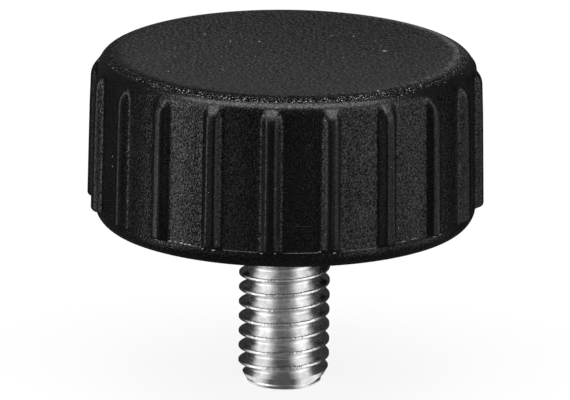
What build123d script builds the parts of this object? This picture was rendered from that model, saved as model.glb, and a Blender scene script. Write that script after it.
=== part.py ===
from build123d import *
from math import asin, cos, degrees, radians, sin, sqrt, tan
import os

os.makedirs("parts", exist_ok=True)

# A knurled knob: a moulded plastic grip on a steel threaded stud.
# The origin is where the stud leaves the hub's seating face, with the stud pointing down.

# Driving dimensions, in millimetres and degrees

# Grip: the outer form, from the lower rim, whose flat cuts the base round short, up to the dished top
grip_height = 12.4
rim_height = 1.2
base_round = 1.2
base_sweep = 57
parting_land = 0.1
wall_radius = 12.52
draft_angle = 1.1
edge_round = 0.92
crown_round = 2.0
crown_angle = 28
dish_sphere_radius = 125

# Grip: the ribs round the wall
rib_count = 20
rib_depth = 0.55
rib_crest_width = 0.62
rib_foot_width = 1.16
rib_crest_chamfer = 0.12
rib_root = 0.3
rib_shoulder_round = 1.3
rib_shoulder_drop = 1.8
rib_dive_angle = 10

# Grip: the cored underside, a ring-shaped recess between the rim and the hub, and a relief at the stud
hub_wall = 1.4
hub_edge_chamfer = 0.4
relief_gap = 0.4
relief_depth = 0.5
rim_share = 0.4
roof_thickness = 3.2

# Stud: a hexagon-headed screw whose head is moulded into the hub
thread_diameter = 6
stud_length = 10
stud_end_length = 1.15
stud_end_relief = 0.65
neck_relief = 0.35
neck_length = 2.6
head_across_flats = 10
head_height = 4

# How far a joining shape runs past the plane that trims it
overrun = 1.0

# The parting line of the mould, where the ribs end, and a narrow land between it and the rounding
land_height = rim_height + base_round * sin(radians(base_sweep))
parting_height = land_height + parting_land


def wall_radius_at(height):
    """Radius of the smooth wall at a height: the draft makes it narrower towards the top."""
    return wall_radius - (height - parting_height) * tan(radians(draft_angle))


# The stud: a tapered end, the full diameter up to the seating face, then the neck and the head
thread_radius = thread_diameter / 2
stud_end_radius = thread_radius - stud_end_relief
neck_radius = thread_radius - neck_relief
head_corner_radius = head_across_flats / sqrt(3)

with BuildPart() as threaded_stud:
    with BuildSketch(Plane.XZ):
        with BuildLine():
            Polyline(
                (0, -stud_length),
                (stud_end_radius, -stud_length),
                (thread_radius, -stud_length + stud_end_length),
                (thread_radius, 0),
                (neck_radius, 0),
                (neck_radius, neck_length),
                (0, neck_length),
                close=True,
            )
        make_face()
    revolve(axis=Axis.Z)
    with BuildSketch(Plane.XY.offset(neck_length)):
        RegularPolygon(head_corner_radius, side_count=6)
    extrude(amount=head_height)

# One rib: its section runs up the drafted wall and bends over into the rounded top edge
wall_slope = 90 - draft_angle
rib_start_height = parting_height - overrun
shoulder_height = grip_height - rib_shoulder_drop
rib_half_crest = rib_crest_width / 2
rib_half_foot = rib_foot_width / 2
rib_root_depth = rib_depth + rib_root
rib_half_root = rib_half_crest + (rib_half_foot - rib_half_crest) * rib_root_depth / rib_depth

with BuildPart() as rib:
    with BuildLine(Plane.XZ) as rib_path:
        rib_rise = Line(
            (wall_radius_at(rib_start_height) + rib_depth, rib_start_height),
            (wall_radius_at(shoulder_height) + rib_depth, shoulder_height),
        )
        JernArc(rib_rise @ 1, rib_rise % 1, rib_shoulder_round, wall_slope - rib_dive_angle)
    # The section lies across the path, with its crest on the path and its root inside the wall
    with BuildSketch(Plane(rib_path.line @ 0, x_dir=(0, -1, 0), z_dir=rib_path.line % 0)) as rib_section:
        with BuildLine():
            Polyline(
                (-rib_half_crest, 0),
                (rib_half_crest, 0),
                (rib_half_root, -rib_root_depth),
                (-rib_half_root, -rib_root_depth),
                close=True,
            )
        make_face()
        chamfer(rib_section.vertices().group_by(Axis.Y)[-1], rib_crest_chamfer)
    sweep(path=rib_path.line)
    split(bisect_by=Plane.XY.offset(parting_height), keep=Keep.TOP)

# The top edge: a tight round off the wall, then a gentle crown that turns over into the dish
edge_rise = edge_round * (cos(radians(crown_angle)) - cos(radians(wall_slope)))
crown_rise = crown_round * (1 - cos(radians(crown_angle)))
wall_top = grip_height - crown_rise - edge_rise
edge_reach = edge_round * (sin(radians(wall_slope)) - sin(radians(crown_angle)))
crown_reach = crown_round * sin(radians(crown_angle))
crown_top_radius = wall_radius_at(wall_top) - edge_reach - crown_reach
dish_angle = degrees(asin(crown_top_radius / (dish_sphere_radius + crown_round)))

# The recess between the hub and the rim
hub_radius = head_corner_radius + hub_wall
relief_radius = thread_radius + relief_gap
rim_outer_radius = wall_radius - base_round * (1 - cos(radians(base_sweep)))
recess_radius = rim_outer_radius - rim_share * (rim_outer_radius - hub_radius)
recess_top = grip_height - roof_thickness

with BuildPart() as knob_grip:
    # The body without its ribs, turned about the axis
    with BuildSketch(Plane.XZ) as body_profile:
        with BuildLine():
            wall = Line((wall_radius, parting_height), (wall_radius_at(wall_top), wall_top))
            edge = JernArc(wall @ 1, wall % 1, edge_round, wall_slope - crown_angle)
            crown = JernArc(edge @ 1, edge % 1, crown_round, crown_angle + dish_angle)
            dish = JernArc(crown @ 1, crown % 1, dish_sphere_radius, -dish_angle)
            Polyline(
                dish @ 1,
                (0, relief_depth),
                (relief_radius, relief_depth),
                (relief_radius, 0),
                (hub_radius, 0),
                (hub_radius, recess_top),
                (recess_radius, recess_top),
                (recess_radius, rim_height),
                (rim_outer_radius, rim_height),
            )
            base = RadiusArc((rim_outer_radius, rim_height), (wall_radius, land_height), -base_round)
            Line(base @ 1, wall @ 0)
        make_face()
        chamfer(body_profile.vertices().sort_by_distance((hub_radius, 0))[0], hub_edge_chamfer)
    revolve(axis=Axis.Z)
    with PolarLocations(0, rib_count):
        add(rib.part)
    # The stud is moulded in, so its neck and head leave their own shape in the hub
    add(threaded_stud.part, mode=Mode.SUBTRACT)

threaded_stud.part.label = "threaded_stud"
export_step(threaded_stud.part, "parts/threaded_stud.step")
knob_grip.part.label = "knob_grip"
export_step(knob_grip.part, "parts/knob_grip.step")
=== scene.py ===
import math

import bmesh
import bpy
from mathutils import Matrix, Vector


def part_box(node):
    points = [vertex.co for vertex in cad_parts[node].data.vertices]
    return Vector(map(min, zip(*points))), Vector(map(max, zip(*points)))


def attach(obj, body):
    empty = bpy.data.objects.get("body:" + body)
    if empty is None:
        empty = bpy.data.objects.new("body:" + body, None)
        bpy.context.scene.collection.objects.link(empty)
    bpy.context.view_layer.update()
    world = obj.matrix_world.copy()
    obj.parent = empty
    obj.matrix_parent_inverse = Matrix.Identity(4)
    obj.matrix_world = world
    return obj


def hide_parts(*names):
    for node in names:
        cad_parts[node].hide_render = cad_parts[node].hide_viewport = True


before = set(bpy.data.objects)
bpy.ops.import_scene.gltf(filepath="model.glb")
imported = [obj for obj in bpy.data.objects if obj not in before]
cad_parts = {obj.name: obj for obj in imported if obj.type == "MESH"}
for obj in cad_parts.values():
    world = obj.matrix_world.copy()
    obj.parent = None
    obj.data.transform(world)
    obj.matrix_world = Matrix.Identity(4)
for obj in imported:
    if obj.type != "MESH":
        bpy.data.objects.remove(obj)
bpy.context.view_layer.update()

# Threaded stud
# A hexagon-headed M6 screw of bright zinc-plated steel, cold headed with a rolled right-hand thread.
# Its head and neck are moulded into the grip's hub, and its tapered end is where the knob stands.
mm = 0.001
stud_low, stud_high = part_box("threaded_stud")
thread_radius = 3.0 * mm
thread_pitch = 1.0 * mm
stud_end_radius = 2.35 * mm
stud_end_length = 1.15 * mm
shank_bottom = stud_low.z + stud_end_length
neck_radius = 2.65 * mm
neck_overlap = 0.1 * mm
head_height = 4.0 * mm
head_bottom = stud_high.z - head_height
head_corner_radius = stud_high.x
head_turn = math.radians(30)
stud_sides = 160
stud_crease = math.radians(32)


def start_piece(name):
    """Names the primitive that was just added, and opens it for editing."""
    piece = bpy.context.object
    piece.name = name
    piece.data.name = name
    bpy.ops.object.mode_set(mode="EDIT")
    bpy.ops.mesh.select_mode(type="VERT")
    return piece


def select_where(piece, test):
    """Selects the points of the piece in edit mode whose place passes the test."""
    bpy.ops.mesh.select_all(action="DESELECT")
    shape = bmesh.from_edit_mesh(piece.data)
    for vertex in shape.verts:
        vertex.select = test(vertex.co)
    shape.select_flush(True)
    bmesh.update_edit_mesh(piece.data)


def extrude(rise, share):
    """Extrudes what is selected along the axis, and scales the new end across the axis by a share."""
    bpy.ops.mesh.extrude_region_move(TRANSFORM_OT_translate={"value": (0, 0, rise)})
    bpy.ops.transform.resize(value=(share, share, 1), center_override=(0, 0, 0))


def apply_boolean(piece, other, operation):
    """Joins another closed piece to this one, or cuts it away, and deletes the other."""
    cut = piece.modifiers.new(operation.lower(), "BOOLEAN")
    cut.object = other
    cut.operation = operation
    cut.solver = "EXACT"
    bpy.ops.object.select_all(action="DESELECT")
    bpy.context.view_layer.objects.active = piece
    piece.select_set(True)
    bpy.ops.object.modifier_apply(modifier=cut.name)
    bpy.data.objects.remove(other)


# The blank: a shank with a tapered end, a neck about as wide as the thread's pitch diameter, and the head
bpy.ops.object.select_all(action="DESELECT")
bpy.ops.mesh.primitive_cylinder_add(
    vertices=stud_sides, radius=thread_radius, depth=-shank_bottom, location=(0, 0, shank_bottom / 2)
)
bpy.ops.object.transform_apply()
stud = start_piece("threaded_stud_steel")
select_where(stud, lambda place: place.z < shank_bottom / 2)
# The end tapers, and a fine groove is left just above its lip where the blank was cut off.
# Each step has its radius and its height over the end.
end_outline = [
    (thread_radius, stud_end_length),
    (2.57 * mm, 0.38 * mm),
    (2.45 * mm, 0.33 * mm),
    (2.48 * mm, 0.24 * mm),
    (2.44 * mm, 0.08 * mm),
    (stud_end_radius, 0),
]
for (radius, height), (next_radius, next_height) in zip(end_outline, end_outline[1:]):
    extrude(next_height - height, next_radius / radius)
select_where(stud, lambda place: place.z > shank_bottom / 2)
extrude(0, neck_radius / thread_radius)
extrude(head_bottom + neck_overlap, 1)
bpy.ops.object.mode_set(mode="OBJECT")

bpy.ops.mesh.primitive_cylinder_add(
    vertices=6,
    radius=head_corner_radius,
    depth=head_height,
    location=(0, 0, stud_high.z - head_height / 2),
    rotation=(0, 0, head_turn),
)
bpy.ops.object.transform_apply()
head = bpy.context.object
apply_boolean(stud, head, "UNION")

# The grip is moulded round the blank, so a copy is kept to cut its cavity
stud_blank = stud.copy()
stud_blank.data = stud.data.copy()
bpy.context.scene.collection.objects.link(stud_blank)

# The thread's groove, a rounded V close to the standard 60 degrees, wound up the shank on the pitch.
# Half of its section runs from the root, by the flank between its two roundings, to the crest and the mouth.
groove_depth = 0.61 * mm
groove_root_half = 0.06 * mm
groove_mouth = thread_radius + 0.05 * mm
groove_weld = 0.001 * mm
crest_half = 0.065 * mm
groove_half = 0.5 * thread_pitch - crest_half
groove_side = [
    (thread_radius - groove_depth, groove_root_half),
    (thread_radius - 0.9 * groove_depth, groove_root_half + 0.08 * groove_depth),
    (thread_radius - 0.12 * groove_depth, groove_half - 0.075 * mm),
    (thread_radius - 0.04 * groove_depth, groove_half - 0.03 * mm),
    (thread_radius, groove_half),
    (groove_mouth, groove_half + 0.5 * crest_half),
]
groove_outline = [(radius, -half) for radius, half in reversed(groove_side)] + groove_side
# The winding starts at the right, and half a turn on, at the photograph's left, it has risen by half a pitch.
# A crest there lies half a pitch above the groove, so it is whole pitches above the start.
crest_height_at_left = -2.61 * mm
turns_below_crest = 9
groove_turns = 12
groove_start = crest_height_at_left - turns_below_crest * thread_pitch


def draw_line(name, places):
    """Starts a piece as a line through the places, and leaves it selected in edit mode."""
    bpy.ops.object.select_all(action="DESELECT")
    bpy.ops.mesh.primitive_plane_add(size=mm)
    piece = start_piece(name)
    bpy.ops.mesh.select_all(action="SELECT")
    bpy.ops.mesh.merge(type="CENTER")
    bpy.ops.transform.translate(value=places[0])
    for here, there in zip(places, places[1:]):
        bpy.ops.mesh.extrude_region_move(TRANSFORM_OT_translate={"value": there - here})
    bpy.ops.mesh.select_all(action="SELECT")
    return piece


def close_shell(weld_distance):
    """Welds the points that meet, fills the open ends, turns the faces outwards and ends the editing."""
    bpy.ops.mesh.select_all(action="SELECT")
    bpy.ops.mesh.remove_doubles(threshold=weld_distance)
    bpy.ops.mesh.select_all(action="DESELECT")
    bpy.ops.mesh.select_non_manifold()
    bpy.ops.mesh.fill_holes(sides=0)
    bpy.ops.mesh.select_all(action="SELECT")
    bpy.ops.mesh.normals_make_consistent(inside=False)
    bpy.ops.object.mode_set(mode="OBJECT")


groove = draw_line("thread_groove", [Vector((r, 0, groove_start + height)) for r, height in groove_outline])
# A face closes the outline, and of it only the last edge is kept
bpy.ops.mesh.edge_face_add()
bpy.ops.mesh.delete(type="ONLY_FACE")
bpy.ops.object.mode_set(mode="OBJECT")
winding = groove.modifiers.new("winding", "SCREW")
winding.angle = 2 * math.pi
winding.screw_offset = thread_pitch
winding.iterations = groove_turns
winding.steps = stud_sides
winding.render_steps = stud_sides
bpy.ops.object.modifier_apply(modifier=winding.name)
bpy.ops.object.mode_set(mode="EDIT")
close_shell(groove_weld)
apply_boolean(stud, groove, "DIFFERENCE")
bpy.ops.object.shade_smooth_by_angle(angle=stud_crease)


def linear(hex_colour):
    """Turns an sRGB hex colour into the linear colour that a shader reads."""
    channels = [int(hex_colour[at : at + 2], 16) / 255 for at in (1, 3, 5)]
    curve = [c / 12.92 if c <= 0.04045 else ((c + 0.055) / 1.055) ** 2.4 for c in channels]
    return (*curve, 1)


def link(material, node, **outputs):
    """Links a node's inputs, named with _ for each space, to other nodes' outputs."""
    for name, output in outputs.items():
        material.node_tree.links.new(node.inputs[name.replace("_", " ")], output)


def add_node(material, kind, settings=None, **outputs):
    """Adds a node, sets its properties and sockets, and links its inputs to other nodes' outputs."""
    node = material.node_tree.nodes.new(kind)
    for name, value in (settings or {}).items():
        if hasattr(node, name):
            setattr(node, name, value)
        else:
            node.inputs[name].default_value = value
    link(material, node, **outputs)
    return node


def add_tint(material, level, low, dark, high, light):
    """Adds a ramp from a dark hex colour at a low level to a light one at a high level."""
    ramp = add_node(material, "ShaderNodeValToRGB", Fac=level)
    for stop, position, colour in zip(ramp.color_ramp.elements, (low, high), (dark, light)):
        stop.position = position
        stop.color = linear(colour)
    return ramp.outputs["Color"]


def axis_distance(material, place):
    """Adds nodes that give a point's distance from the knob's axis."""
    across = add_node(
        material, "ShaderNodeVectorMath", {"operation": "MULTIPLY"}, Vector=place.outputs["Object"]
    )
    across.inputs[1].default_value = (1, 1, 0)
    distance = add_node(
        material, "ShaderNodeVectorMath", {"operation": "LENGTH"}, Vector=across.outputs["Vector"]
    )
    return distance.outputs["Value"]


# Bright zinc-plated steel, thread-rolled: a pale grey metal with fine streaks drawn out along the thread,
# a cloudy change of gloss, and nicks on the crests where threads have knocked together. The real streaks are
# finer than the picture shows, so they are drawn about twice as wide.
streak_length = 1.4 * mm
streak_width = 0.1 * mm
streak_depth = 0.022 * mm
cloud_size = 0.7 * mm
nick_size = 0.12 * mm
nick_depth = 0.04 * mm
nick_band_low = thread_radius - 0.14 * mm
nick_band_high = thread_radius - 0.03 * mm
steel = bpy.data.materials.new("zinc_plated_steel")
steel.use_nodes = True
steel_shader = steel.node_tree.nodes["Principled BSDF"]
steel_shader.inputs["Metallic"].default_value = 1
steel_place = add_node(steel, "ShaderNodeTexCoord")
streak_scale = (1 / streak_length, 1 / streak_length, 1 / streak_width)
streak_place = add_node(
    steel, "ShaderNodeMapping", {"Scale": streak_scale}, Vector=steel_place.outputs["Object"]
)
streaks = add_node(
    steel, "ShaderNodeTexNoise", {"Scale": 1, "Detail": 3, "Roughness": 0.6},
    Vector=streak_place.outputs["Vector"],
)
clouds = add_node(
    steel, "ShaderNodeTexNoise", {"Scale": 1 / cloud_size, "Detail": 2}, Vector=steel_place.outputs["Object"]
)
steel_gloss = add_node(
    steel, "ShaderNodeMapRange", {"From Min": 0.3, "From Max": 0.7, "To Min": 0.13, "To Max": 0.28},
    Value=streaks.outputs["Fac"],
)
# The nicks lie only on the crests, which are found by their distance from the stud's axis
nicks = add_node(
    steel, "ShaderNodeTexNoise", {"Scale": 1 / nick_size, "Detail": 1}, Vector=steel_place.outputs["Object"]
)
crest_nicks = add_node(
    steel, "ShaderNodeMapRange", {"From Min": nick_band_low, "From Max": nick_band_high},
    Value=axis_distance(steel, steel_place), To_Max=nicks.outputs["Fac"],
)
nick_bump = add_node(
    steel, "ShaderNodeBump", {"Strength": 0.9, "Distance": nick_depth}, Height=crest_nicks.outputs["Result"]
)
streak_bump = add_node(
    steel, "ShaderNodeBump", {"Strength": 0.8, "Distance": streak_depth},
    Height=streaks.outputs["Fac"], Normal=nick_bump.outputs["Normal"],
)
link(
    steel, steel_shader,
    Base_Color=add_tint(steel, clouds.outputs["Fac"], 0.35, "#D6D6D6", 0.65, "#F2F2F2"),
    Roughness=steel_gloss.outputs["Result"],
    Normal=streak_bump.outputs["Normal"],
)
stud.data.materials.clear()
stud.data.materials.append(steel)
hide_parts("threaded_stud")
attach(stud, "root")

# Grip
# A knob of black glass-filled nylon, injection moulded in one piece round the stud's head.
# Its wall has 20 ribs that bend over into the top edge, and the mould parts where the ribs end.
grip_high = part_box("knob_grip")[1]
rib_count = 20
rib_depth = 0.55 * mm
rib_crest_half = 0.285 * mm
rib_foot_half = 0.68 * mm
rib_crest_round = 0.3 * mm
rib_foot_round = 0.3 * mm
rib_shoulder_blend = 0.28 * mm
rib_shoulder_drop = 1.8 * mm
rib_shoulder_height = grip_high.z - rib_shoulder_drop
rib_slope_lean = math.radians(41)
wall_radius = grip_high.x - rib_depth
wall_draft = math.radians(1.1)
rim_height = 1.2 * mm
base_round = 1.2 * mm
base_sweep = math.radians(57)
parting_land = 0.1 * mm
land_height = rim_height + base_round * math.sin(base_sweep)
parting_height = land_height + parting_land
flash_proud = 0.028 * mm
flash_slope = 0.035 * mm
edge_round = 0.92 * mm
crown_round = 2.0 * mm
crown_angle = math.radians(28)
dish_sphere_radius = 125 * mm
hub_wall = 1.4 * mm
hub_radius = head_corner_radius + hub_wall
hub_edge_chamfer = 0.4 * mm
relief_gap = 0.4 * mm
relief_radius = thread_radius + relief_gap
relief_depth = 0.5 * mm
roof_thickness = 3.2 * mm
recess_top = grip_high.z - roof_thickness
rim_share = 0.4
rim_outer_radius = wall_radius - base_round * (1 - math.cos(base_sweep))
recess_radius = rim_outer_radius - rim_share * (rim_outer_radius - hub_radius)
grip_weld = 0.002 * mm
grip_crease = math.radians(35)


def wall_radius_at(height):
    """Radius of the smooth wall between the ribs, which the mould's draft makes narrower upwards."""
    return wall_radius - (height - parting_height) * math.tan(wall_draft)


# The rib's section from its middle to the valley's middle: how far along the wall, and which share of the
# rib's depth it stands off the wall
flank_turn = math.atan2(rib_depth, rib_foot_half - rib_crest_half)
crest_tangent = rib_crest_round * math.tan(flank_turn / 2)
foot_tangent = rib_foot_round * math.tan(flank_turn / 2)
crest_flat_half = rib_crest_half - crest_tangent
foot_end = rib_foot_half + foot_tangent
valley_half = math.pi * wall_radius / rib_count
arc_steps = 3
half_section = [(0, 1), (0.5 * crest_flat_half, 1)]
for step in range(arc_steps + 1):
    turn = flank_turn * step / arc_steps
    along = crest_flat_half + rib_crest_round * math.sin(turn)
    half_section.append((along, 1 - rib_crest_round * (1 - math.cos(turn)) / rib_depth))
half_section.append((0.5 * (rib_crest_half + rib_foot_half), 0.5))
for step in range(arc_steps + 1):
    turn = flank_turn * (1 - step / arc_steps)
    along = foot_end - rib_foot_round * math.sin(turn)
    half_section.append((along, rib_foot_round * (1 - math.cos(turn)) / rib_depth))
half_section += [(foot_end + (valley_half - foot_end) * share, 0) for share in (0.33, 0.67, 1)]
rib_section = [(-along, rise) for along, rise in reversed(half_section[1:])] + half_section

# The profile from the relief under the hub to the middle of the dish: stations of radius and height.
# It starts with the underside and the rounded base.
stations = [
    Vector((relief_radius, relief_depth)),
    Vector((relief_radius, 0)),
    Vector((hub_radius - hub_edge_chamfer, 0)),
    Vector((hub_radius, hub_edge_chamfer)),
    Vector((hub_radius, recess_top)),
    Vector((recess_radius, recess_top)),
    Vector((recess_radius, rim_height)),
]
base_steps = 8
for step in range(base_steps + 1):
    turn = base_sweep * (1 - step / base_steps)
    radius = wall_radius - base_round * (1 - math.cos(turn))
    stations.append(Vector((radius, land_height - base_round * math.sin(turn))))
# A thin fin of flash stands proud where the two halves of the mould meet
stations.append(Vector((wall_radius, parting_height - 2 * flash_slope)))
stations.append(Vector((wall_radius + flash_proud, parting_height - flash_slope)))
first_ribbed = len(stations)
# The ribs' lower ends are rounded: at these heights over the parting line they have these shares of the depth
rib_end_heights = (0, 0.05 * mm, 0.12 * mm)
rib_end_shares = (0.5, 0.74, 0.9)
rib_end_round = 0.24 * mm
rib_end_top = parting_height + rib_end_round
wall_steps = 4
shoulder_steps = 8
wall_slope = 0.5 * math.pi - wall_draft
edge_rise = edge_round * (math.cos(crown_angle) - math.cos(wall_slope))
wall_top = grip_high.z - crown_round * (1 - math.cos(crown_angle)) - edge_rise
wall_heights = [parting_height + height for height in rib_end_heights]
for step in range(wall_steps + 1):
    wall_heights.append(rib_end_top + (rib_shoulder_height - rib_end_top) * step / wall_steps)
for step in range(1, shoulder_steps + 1):
    wall_heights.append(rib_shoulder_height + (wall_top - rib_shoulder_height) * step / shoulder_steps)
stations += [Vector((wall_radius_at(height), height)) for height in wall_heights]
# The top edge is a tight round off the wall, then a gentle crown that turns over into the dish
edge_middle = Vector((wall_radius_at(wall_top) - edge_round * math.cos(wall_draft), wall_top))
edge_middle.y -= edge_round * math.sin(wall_draft)
crown_outward = Vector((math.sin(crown_angle), math.cos(crown_angle)))
crown_middle = edge_middle - (crown_round - edge_round) * crown_outward
dish_angle = math.asin(crown_middle.x / (dish_sphere_radius + crown_round))
edge_steps = 16
for step in range(1, edge_steps + 1):
    lean = wall_slope + (crown_angle - wall_slope) * step / edge_steps
    stations.append(edge_middle + edge_round * Vector((math.sin(lean), math.cos(lean))))
crown_steps = 10
for step in range(1, crown_steps + 1):
    lean = crown_angle - (crown_angle + dish_angle) * step / crown_steps
    stations.append(crown_middle + crown_round * Vector((math.sin(lean), math.cos(lean))))
dish_steps = 14
dish_middle_height = stations[-1].y + dish_sphere_radius * math.cos(dish_angle)
for step in range(1, dish_steps + 1):
    turn = dish_angle * (1 - step / dish_steps)
    height = dish_middle_height - dish_sphere_radius * math.cos(turn)
    stations.append(Vector((dish_sphere_radius * math.sin(turn), height)))

# At the top each rib ends in a straight slope, which meets the rounded edge where that leans as much
slope_outward = Vector((math.cos(rib_slope_lean), math.sin(rib_slope_lean)))
slope_reach = edge_middle.dot(slope_outward) + edge_round


def rib_lift(index):
    """How far the rib's crest stands off the profile at a station, as a step in radius and height."""
    here = stations[index]
    if index < first_ribbed or index + 1 == len(stations):
        return Vector((0, 0))
    before = here if index == first_ribbed else stations[index - 1]
    along = stations[index + 1] - before
    outward = Vector((along.y, -along.x)).normalized()
    if index < first_ribbed + len(rib_end_shares):
        return rib_end_shares[index - first_ribbed] * rib_depth * outward
    if outward.y >= slope_outward.y:
        return Vector((0, 0))
    # The rise is the smaller of the rib's depth and the room under the slope, blended where they meet
    room = (slope_reach - here.dot(slope_outward)) / outward.dot(slope_outward)
    rise = (room + rib_depth - math.hypot(room - rib_depth, rib_shoulder_blend)) / 2
    return max(0, rise) * outward


# One rib with half a valley each side is drawn as a row of points and extruded along the profile
row_radius, row_height = stations[0]
row_places = []
for along, rise in rib_section:
    angle = along / wall_radius
    row_places.append(Vector((row_radius * math.cos(angle), row_radius * math.sin(angle), row_height)))
grip = draw_line("knob_grip_plastic", row_places)
for before, after in zip(stations, stations[1:]):
    extrude(after.y - before.y, after.x / before.x)

# The row's points that lie on the rib are lifted off the wall, station by station
columns = len(rib_section)
rise_digits = 6
rises = sorted({round(rise, rise_digits) for along, rise in rib_section if rise > 0})
for index, station in enumerate(stations):
    lift = rib_lift(index)
    if lift.length == 0:
        continue
    for rise in rises:
        shape = bmesh.from_edit_mesh(grip.data)
        shape.verts.ensure_lookup_table()
        bpy.ops.mesh.select_all(action="DESELECT")
        for column, (along, share) in enumerate(rib_section):
            shape.verts[index * columns + column].select = round(share, rise_digits) == rise
        bmesh.update_edit_mesh(grip.data)
        bpy.ops.transform.translate(value=(0, 0, rise * lift.y))
        growth = (station.x + rise * lift.x) / station.x
        bpy.ops.transform.resize(value=(growth, growth, 1), center_override=(0, 0, 0))
bpy.ops.mesh.select_all(action="SELECT")
bpy.ops.mesh.spin(steps=rib_count, dupli=True, angle=2 * math.pi, center=(0, 0, 0), axis=(0, 0, 1))
close_shell(grip_weld)
apply_boolean(grip, stud_blank, "DIFFERENCE")
bpy.ops.object.shade_smooth_by_angle(angle=grip_crease)

# Glass-filled nylon, moulded against a spark-eroded steel mould: near black, half dull, with an even grain
# of small pits that glint where they tilt towards a light. The real grain is finer than the picture shows,
# so it is drawn about twice as coarse, and coarser still on the dish, which is seen at a slant.
grain_size, dish_grain_size = 0.1 * mm, 0.22 * mm
glint_size, dish_glint_size = 0.13 * mm, 0.25 * mm
rub_size = 5 * mm
nylon = bpy.data.materials.new("black_moulded_nylon")
nylon.use_nodes = True
nylon_shader = nylon.node_tree.nodes["Principled BSDF"]
nylon_shader.inputs["IOR"].default_value = 1.53
nylon_place = add_node(nylon, "ShaderNodeTexCoord")
facing = add_node(nylon, "ShaderNodeSeparateXYZ", Vector=nylon_place.outputs["Normal"])


def set_stops(ramp, stops):
    """Gives a colour ramp its stops, each a position and a grey level."""
    elements = ramp.color_ramp.elements
    elements.remove(elements[1])
    for index, (position, level) in enumerate(stops):
        stop = elements.new(position) if index else elements[0]
        stop.position = position
        stop.color = (level, level, level, 1)


def by_zone(wall, edge, crown, dish):
    """Adds a ramp that gives each zone its value, by how far the surface faces up: 0 upright, 1 level."""
    ramp = add_node(nylon, "ShaderNodeValToRGB", Fac=facing.outputs["Z"])
    set_stops(ramp, [(0.3, wall), (0.45, edge), (0.83, edge), (0.89, crown), (0.965, crown), (0.975, dish)])
    return ramp.outputs["Color"]


# The edge is rubbed smooth, the crown is the roughest, and the dish's grain is shallow for its size
grain = add_node(
    nylon, "ShaderNodeTexNoise", {"Detail": 0},
    Vector=nylon_place.outputs["Object"],
    Scale=by_zone(1 / grain_size, 1 / grain_size, 1 / grain_size, 1 / dish_grain_size),
)
grain_depth = by_zone(wall=0.025 * mm, edge=0.015 * mm, crown=0.095 * mm, dish=0.026 * mm)
# The ribs stand where hands and tools rub, so their grain is worn shallow and their gloss is more even
wear_start = wall_radius + 0.05 * mm
wear_end = wall_radius + 0.25 * mm
wear_share = 0.65
worn_grain_depth = 0.006 * mm
worn_gloss_level = 0.5
on_rib = add_node(
    nylon, "ShaderNodeMapRange", {"From Min": wear_start, "From Max": wear_end, "To Max": wear_share},
    Value=axis_distance(nylon, nylon_place),
)
worn_depth = add_node(
    nylon, "ShaderNodeMapRange", {"To Max": worn_grain_depth},
    Value=on_rib.outputs["Result"], To_Min=grain_depth,
)
grain_bump = add_node(
    nylon, "ShaderNodeBump", {"Strength": 1},
    Distance=worn_depth.outputs["Result"], Height=grain.outputs["Fac"],
)
grain_gloss = add_node(
    nylon, "ShaderNodeMapRange", {"From Min": 0.35, "From Max": 0.65, "To Min": 0.22, "To Max": 0.35},
    Value=grain.outputs["Fac"],
)
# A second noise sets how much each spot shines: pits are dull, and the few bright spots are its glints
glints = add_node(
    nylon, "ShaderNodeTexNoise", {"Detail": 1, "Roughness": 1},
    Vector=nylon_place.outputs["Object"],
    Scale=by_zone(1 / glint_size, 1 / glint_size, 1 / glint_size, 1 / dish_glint_size),
)
shine = add_node(
    nylon, "ShaderNodeMapRange", {"From Max": 0.8},
    Value=glints.outputs["Fac"],
    From_Min=by_zone(wall=0.38, edge=0.38, crown=0.5, dish=0.38),
    To_Min=by_zone(wall=0.08, edge=0.35, crown=0.03, dish=0.08),
    To_Max=by_zone(wall=1.6, edge=1.1, crown=7.5, dish=1.6),
)
worn_shine = add_node(
    nylon, "ShaderNodeMapRange", {"To Max": worn_gloss_level},
    Value=on_rib.outputs["Result"], To_Min=shine.outputs["Result"],
)
rub = add_node(
    nylon, "ShaderNodeTexNoise", {"Scale": 1 / rub_size, "Detail": 3}, Vector=nylon_place.outputs["Object"]
)
link(
    nylon, nylon_shader,
    Base_Color=add_tint(nylon, rub.outputs["Fac"], 0.35, "#060607", 0.7, "#0C0C0D"),
    Roughness=grain_gloss.outputs["Result"],
    Specular_IOR_Level=worn_shine.outputs["Result"],
    Normal=grain_bump.outputs["Normal"],
)
grip.data.materials.clear()
grip.data.materials.append(nylon)

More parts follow.
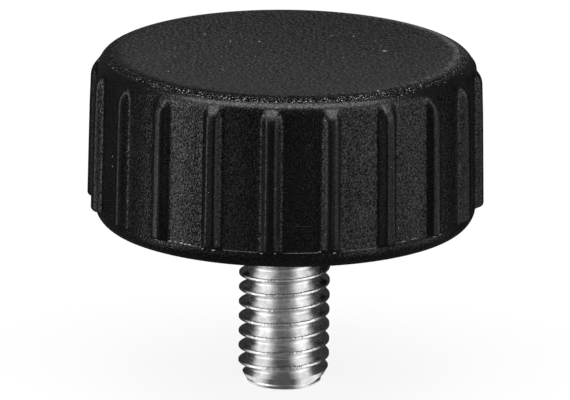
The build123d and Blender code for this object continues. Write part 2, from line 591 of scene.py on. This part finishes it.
# Grains of pale dust on the top and its front edge, and one short fibre, where the photograph shows them.
# Each has its place across the top and its size along x and y, in millimetres.
dust_grains = [
    (-5.8, 5.0, 0.09, 0.13),
    (-4.0, 3.7, 0.12, 0.10),
    (-2.1, 4.0, 0.14, 0.10),
    (-0.6, -0.7, 0.08, 0.08),
    (-3.9, -3.5, 0.08, 0.08),
    (-7.3, -5.3, 0.09, 0.08),
    (6.3, 2.1, 0.36, 0.10),
    (4.0, 5.6, 0.11, 0.08),
    (2.6, 5.8, 0.10, 0.08),
    (3.7, 0.6, 0.08, 0.08),
    (6.6, -9.1, 0.24, 0.14),
    (6.15, -9.5, 0.06, 0.05),
    (5.5, -10.9, 0.09, 0.06),
    (7.9, -9.1, 0.07, 0.05),
    (8.1, -8.85, 0.11, 0.07),
    (8.4, -8.5, 0.06, 0.06),
    (8.85, -8.1, 0.08, 0.06),
    (10.3, -6.1, 0.05, 0.05),
    (10.7, -5.4, 0.09, 0.06),
    (10.8, -3.2, 0.05, 0.05),
    (11.15, -3.5, 0.06, 0.06),
    (11.4, -2.0, 0.06, 0.06),
    (11.65, -2.95, 0.06, 0.06),
    (11.75, -0.65, 0.06, 0.06),
    (-8.3, -8.8, 0.05, 0.05),
    (-7.6, -9.3, 0.05, 0.05),
    (-10.0, -5.4, 0.06, 0.06),
    (-9.5, -6.35, 0.05, 0.05),
    (3.1, -11.8, 0.05, 0.05),
    (-12.3, -0.6, 0.08, 0.08),
]
# Torn flash along the parting line, and dust and a faint scratch on the wall. Each has its azimuth in degrees
# from the front, its height, its length along the wall and its width, in millimetres.
wall_flecks = [
    (-35.9, 2.36, 0.30, 0.04),
    (-32.3, 2.33, 0.35, 0.05),
    (-30.1, 2.34, 0.25, 0.04),
    (-28.0, 2.36, 0.30, 0.09),
    (-26.6, 2.33, 0.25, 0.09),
    (-25.2, 2.34, 0.22, 0.09),
    (-20.8, 2.20, 0.20, 0.05),
    (-17.3, 2.20, 0.30, 0.09),
    (-2.6, 2.24, 0.25, 0.07),
    (1.4, 2.34, 0.20, 0.05),
    (14.8, 2.35, 0.25, 0.05),
    (18.7, 2.34, 0.20, 0.12),
    (42.0, 2.40, 0.50, 0.03),
    (46.0, 2.42, 0.60, 0.03),
    (53.1, 2.36, 0.40, 0.05),
    (55.4, 2.36, 0.40, 0.05),
    (9.5, 4.06, 1.80, 0.002),
    (-3.5, 3.22, 0.07, 0.07),
    (40.2, 3.33, 0.06, 0.14),
    (-51.1, 7.49, 0.06, 0.06),
    (1.5, 6.65, 0.06, 0.06),
    (-15.9, 2.81, 0.07, 0.07),
    (16.0, 3.57, 0.12, 0.05),
    (-60.5, 5.98, 0.08, 0.08),
    (-60.7, 6.64, 0.08, 0.08),
    (36.0, 7.67, 0.05, 0.05),
    (-20.4, 9.15, 0.05, 0.05),
    (-18.1, 6.16, 0.05, 0.05),
]


def pale_material(name, dark, light):
    """Makes a dry, mottled material that scatters light, with hardly any gloss."""
    material = bpy.data.materials.new(name)
    material.use_nodes = True
    shader = material.node_tree.nodes["Principled BSDF"]
    shader.inputs["Roughness"].default_value = 0.95
    mottle_size = 0.05 * mm
    place = add_node(material, "ShaderNodeTexCoord")
    mottle = add_node(
        material, "ShaderNodeTexNoise", {"Scale": 1 / mottle_size}, Vector=place.outputs["Object"]
    )
    link(material, shader, Base_Color=add_tint(material, mottle.outputs["Fac"], 0, dark, 1, light))
    return material


def add_speck(name, start, towards, turn, size, material):
    """Sets a small grain on the grip where a ray from outside meets it."""
    place = grip.ray_cast(start, towards)[1]
    place.z = min(place.z, grip_high.z - size.z / 2)
    bpy.ops.object.select_all(action="DESELECT")
    bpy.ops.mesh.primitive_ico_sphere_add(
        subdivisions=1, radius=0.5, location=place, rotation=(0, 0, turn), scale=size
    )
    bpy.ops.object.transform_apply()
    speck = bpy.context.object
    speck.name = name
    speck.data.materials.append(material)
    return speck


# Dust: grey lint, as pale and dull as paper. Torn flash: the same nylon, turned pale where it was torn
dust = pale_material("pale_dust", "#84827F", "#C4C1BC")
torn_nylon = pale_material("torn_nylon", "#77777A", "#BEBEC0")
ray_height = grip_high.z + 5 * mm
ray_radius = 20 * mm
dust_thickness = 0.7
fleck_thickness = 0.5
specks = []
for across, along, width, length in dust_grains:
    start = Vector((across * mm, along * mm, ray_height))
    size = mm * Vector((width, length, dust_thickness * min(width, length)))
    specks.append(add_speck("dust_grain", start, (0, 0, -1), 0, size, dust))
for azimuth, height, length, width in wall_flecks:
    turn = math.radians(azimuth)
    outward = Vector((math.sin(turn), -math.cos(turn), 0))
    start = ray_radius * outward + Vector((0, 0, height * mm))
    size = mm * Vector((length, fleck_thickness * width, width))
    specks.append(add_speck("wall_fleck", start, -outward, turn, size, torn_nylon))
bpy.ops.object.select_all(action="DESELECT")
for speck in specks:
    speck.select_set(True)
grip.select_set(True)
bpy.context.view_layer.objects.active = grip
bpy.ops.object.join()
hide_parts("knob_grip")
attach(grip, "root")

# Floor
# A plain white board that the knob stands on, on the end of its stud.
# The camera and the reflections see it near white, with the knob's shadow left faintly on it.
floor_size = 4
seen_share = 0.86
bpy.ops.object.select_all(action="DESELECT")
bpy.ops.mesh.primitive_plane_add(size=floor_size, location=(0, 0, stud_low.z))
floor = bpy.context.object
floor.name = "floor"
# White-painted board: an even, matt white with no gloss
board = bpy.data.materials.new("white_board")
board.use_nodes = True
board_shader = board.node_tree.nodes["Principled BSDF"]
board_shader.inputs["Base Color"].default_value = linear("#F7F7F7")
board_shader.inputs["Roughness"].default_value = 0.9
board_shader.inputs["Specular IOR Level"].default_value = 0


def seen_ray(material):
    """Adds nodes that give 1 to a ray that shows what it meets: a camera, glossy or transmission ray."""
    ray = add_node(material, "ShaderNodeLightPath")
    seen = ray.outputs["Is Camera Ray"]
    for kind in ("Is Glossy Ray", "Is Transmission Ray"):
        either = add_node(material, "ShaderNodeMath", {"operation": "MAXIMUM"})
        material.node_tree.links.new(either.inputs[0], seen)
        material.node_tree.links.new(either.inputs[1], ray.outputs[kind])
        seen = either.outputs["Value"]
    return seen


board_white = add_node(board, "ShaderNodeEmission", {"Color": linear("#FFFFFF"), "Strength": 1.0})
board_lift = add_node(board, "ShaderNodeMapRange", {"To Min": 0, "To Max": seen_share}, Value=seen_ray(board))
board_mix = add_node(board, "ShaderNodeMixShader", Fac=board_lift.outputs["Result"])
board.node_tree.links.new(board_mix.inputs[1], board_shader.outputs["BSDF"])
board.node_tree.links.new(board_mix.inputs[2], board_white.outputs["Emission"])
link(board, board.node_tree.nodes["Material Output"], Surface=board_mix.outputs["Shader"])
board.cycles.emission_sampling = "NONE"
floor.data.materials.append(board)

# Glowing cards and dim room
# Glowing rings lie on the board round the knob, a low glowing ring stands round the stud, two glowing
# sheets stand behind, and the room above glows dimly. Their glow, set by azimuth, is painted light and
# painted shade in place of lit paper. Only reflections see them: they draw the light and dark stripes on the
# black plastic and the steel as painted reflections.
room_radius = 1.2
room_light = 0.06
card_lift = 0.05 * mm
card_sides = 96


def dim_surface(name, strength):
    """Makes a material that glows evenly and dimly, as paper or a wall does in a dark room."""
    material = bpy.data.materials.new(name)
    material.use_nodes = True
    material.cycles.emission_sampling = "NONE"
    material.node_tree.nodes.clear()
    glow = add_node(material, "ShaderNodeEmission", {"Color": linear("#FFFFFF"), "Strength": strength})
    add_node(material, "ShaderNodeOutputMaterial", Surface=glow.outputs["Emission"])
    return material


def hide_from_camera(surround, material):
    """Gives a piece of the surroundings its material, and leaves it to reflections alone."""
    surround.data.materials.append(material)
    surround.visible_camera = False
    surround.visible_diffuse = False
    surround.visible_transmission = False
    surround.visible_shadow = False


bpy.ops.mesh.primitive_uv_sphere_add(segments=32, ring_count=16, radius=room_radius)
dome = bpy.context.object
dome.name = "room_dome"
hide_from_camera(dome, dim_surface("dim_room", room_light))


def ring_card(name, inner, outer, rise, lights):
    """Lays a glowing ring round the knob, its outer edge raised, and paints light and shade on it by azimuth.

    Azimuth 0 is the front and 90 is the right of it. The lights run from -90 to 270.
    """
    bpy.ops.object.select_all(action="DESELECT")
    bpy.ops.mesh.primitive_circle_add(
        vertices=card_sides, radius=inner, location=(0, 0, stud_low.z + card_lift)
    )
    card = start_piece(name)
    bpy.ops.mesh.select_all(action="SELECT")
    extrude(rise, outer / inner)
    bpy.ops.object.mode_set(mode="OBJECT")
    # The ring's material glows, and its glow by azimuth is painted light and painted shade
    painted_glow = dim_surface(name, 1)
    place = add_node(painted_glow, "ShaderNodeTexCoord")
    around = add_node(
        painted_glow, "ShaderNodeTexGradient", {"gradient_type": "RADIAL"}, Vector=place.outputs["Object"]
    )
    light = add_node(painted_glow, "ShaderNodeValToRGB", Fac=around.outputs["Fac"])
    set_stops(light, [((azimuth + 90) / 360, strength) for azimuth, strength in lights])
    link(painted_glow, painted_glow.node_tree.nodes["Emission"], Color=light.outputs["Color"])
    hide_from_camera(card, painted_glow)


# The wide card's glow is painted light and shade that the wall mirrors, each of whose flats mirrors one part
# of it
card_start = 28 * mm
wall_lights = [
    (-90, 0.05), (-74, 0.05), (-71, 1.3), (-54, 1.3), (-51, 0.02), (-38, 0.02), (-33, 0.34),
    (-28, 0.34), (-18, 0.1), (-11, 0.02), (32, 0.02), (36, 0.62), (60, 0.62), (63, 0.03),
    (74, 0.03), (77, 0.68), (96, 0.68), (99, 0.025), (180, 0.025), (190, 0.05), (270, 0.05),
]
ring_card("wide_card", card_start, room_radius, 0, wall_lights)
# Round the stud stands a low glowing reflector ring, with painted light at both sides, painted shade in front
# and behind, and a dark glowing back
under_start = 0.5 * mm
under_end = 4.5 * mm
reflector_radius = 9 * mm
reflector_height = 9.5 * mm
back_radius = reflector_radius + 0.05 * mm
under_lights = [
    (-90, 0.5), (-50, 0.9), (-34, 0.7), (-20, 0.1), (22, 0.1), (36, 0.9), (70, 1.0), (95, 0.1), (270, 0.1),
]
foot_lights = [
    (-90, 0.15), (-80, 0.8), (-66, 1.5), (-42, 1.5), (-24, 0.25), (-10, 0.05), (18, 0.05), (32, 0.5),
    (44, 1.5), (68, 1.5), (80, 0.4), (92, 0.04), (240, 0.03), (262, 0.03), (270, 0.15),
]
side_lights = [
    (-90, 0.15), (-80, 0.7), (-66, 1.4), (-42, 1.4), (-24, 0.45), (-10, 0.2), (18, 0.2), (32, 0.6),
    (44, 1.4), (68, 1.4), (80, 0.4), (92, 0.04), (240, 0.03), (262, 0.03), (270, 0.15),
]
ring_card("under_card", under_start, under_end, 0, under_lights)
ring_card("dish_card", under_end, reflector_radius, 0, foot_lights)
ring_card("dish_side", reflector_radius, reflector_radius, reflector_height, side_lights)
ring_card("dish_back", back_radius, back_radius, reflector_height, [(-90, 0.04), (270, 0.04)])
ring_card("shade_card", reflector_radius, card_start, 0, [(-90, 0.05), (270, 0.05)])
panel_distance = 0.6
panel_middle = 0.15
panel_height = 0.36


def back_panel(name, left, right, strength):
    """Stands a narrow glowing sheet behind the knob, whose glow the dished top mirrors as a painted
    reflection.
    """
    bpy.ops.object.select_all(action="DESELECT")
    middle = Vector(((left + right) / 2, panel_distance, panel_middle))
    bpy.ops.mesh.primitive_plane_add(size=1, location=middle, rotation=(0.5 * math.pi, 0, 0))
    bpy.ops.transform.resize(value=(right - left, 1, panel_height), center_override=middle)
    panel = bpy.context.object
    panel.name = name
    hide_from_camera(panel, dim_surface(name, strength))


# Two glowing sheets, one dim and one bright: their glow is a painted reflection on the dish
back_panel("dim_glow_panel", left=-0.13, right=-0.025, strength=0.115)
back_panel("bright_glow_panel", left=-0.025, right=0.06, strength=0.44)

# Softboxes
# Three photographic lamps with cloth fronts. Two stand at the sides and light the wall and the stud, and one
# hangs above the camera and draws the line on the top's front edge. The white room fills the shadows.
softbox_distance = 0.45
room_fill = 0.62


def softbox(name, azimuth, elevation, width, height, radiance):
    """Adds an area lamp that faces the knob. Azimuth 0 is the front, and positive is right of it."""
    turn, lift = math.radians(azimuth), math.radians(elevation)
    towards = Vector((math.sin(turn) * math.cos(lift), -math.cos(turn) * math.cos(lift), math.sin(lift)))
    lamp = bpy.data.lights.new(name, "AREA")
    lamp.shape = "RECTANGLE"
    lamp.size = width
    lamp.size_y = height
    lamp.energy = radiance * math.pi * width * height
    box = bpy.data.objects.new(name, lamp)
    box.location = Vector((0, 0, grip_high.z / 2)) + softbox_distance * towards
    box.rotation_euler = towards.to_track_quat("Z", "Y").to_euler()
    bpy.context.scene.collection.objects.link(box)


softbox("left_softbox", azimuth=-62, elevation=14, width=0.20, height=0.24, radiance=2.0)
softbox("right_softbox", azimuth=66, elevation=14, width=0.34, height=0.24, radiance=1.2)
softbox("top_softbox", azimuth=0, elevation=72, width=0.9, height=0.30, radiance=2.7)

world = bpy.data.worlds.new("white_room")
bpy.context.scene.world = world
world.use_nodes = True
world.cycles.sampling_method = "NONE"
backdrop = world.node_tree.nodes["Background"]
backdrop.inputs["Color"].default_value = linear("#FFFFFF")
level = add_node(world, "ShaderNodeMapRange", {"To Min": room_fill, "To Max": 1.0}, Value=seen_ray(world))
link(world, backdrop, Strength=level.outputs["Result"])

# Camera
# A long lens a little above the knob, turned so that one rib stands just left of the middle.
camera_azimuth = math.radians(4.25)
camera_elevation = math.radians(15.65)
camera_distance = 570 * mm
camera_roll = math.radians(0.55)
aim = Vector((0, 0, 2.34 * mm))
image_width = 570
focal_pixels = 8665
axis_column = 285.2
sensor_width = 36
camera = bpy.data.objects.new("camera", bpy.data.cameras.new("camera"))
bpy.context.scene.collection.objects.link(camera)
camera.data.sensor_width = sensor_width
camera.data.lens = focal_pixels * sensor_width / image_width
camera.data.shift_x = (image_width / 2 - axis_column) / image_width
camera.data.clip_start = 0.01
backwards = Vector((
    math.sin(camera_azimuth) * math.cos(camera_elevation),
    -math.cos(camera_azimuth) * math.cos(camera_elevation),
    math.sin(camera_elevation),
))
camera.matrix_world = (
    Matrix.Translation(aim + camera_distance * backwards)
    @ backwards.to_track_quat("Z", "Y").to_matrix().to_4x4()
    @ Matrix.Rotation(camera_roll, 4, "Z")
)
bpy.context.scene.camera = camera
bpy.context.scene.view_settings.view_transform = "Standard"
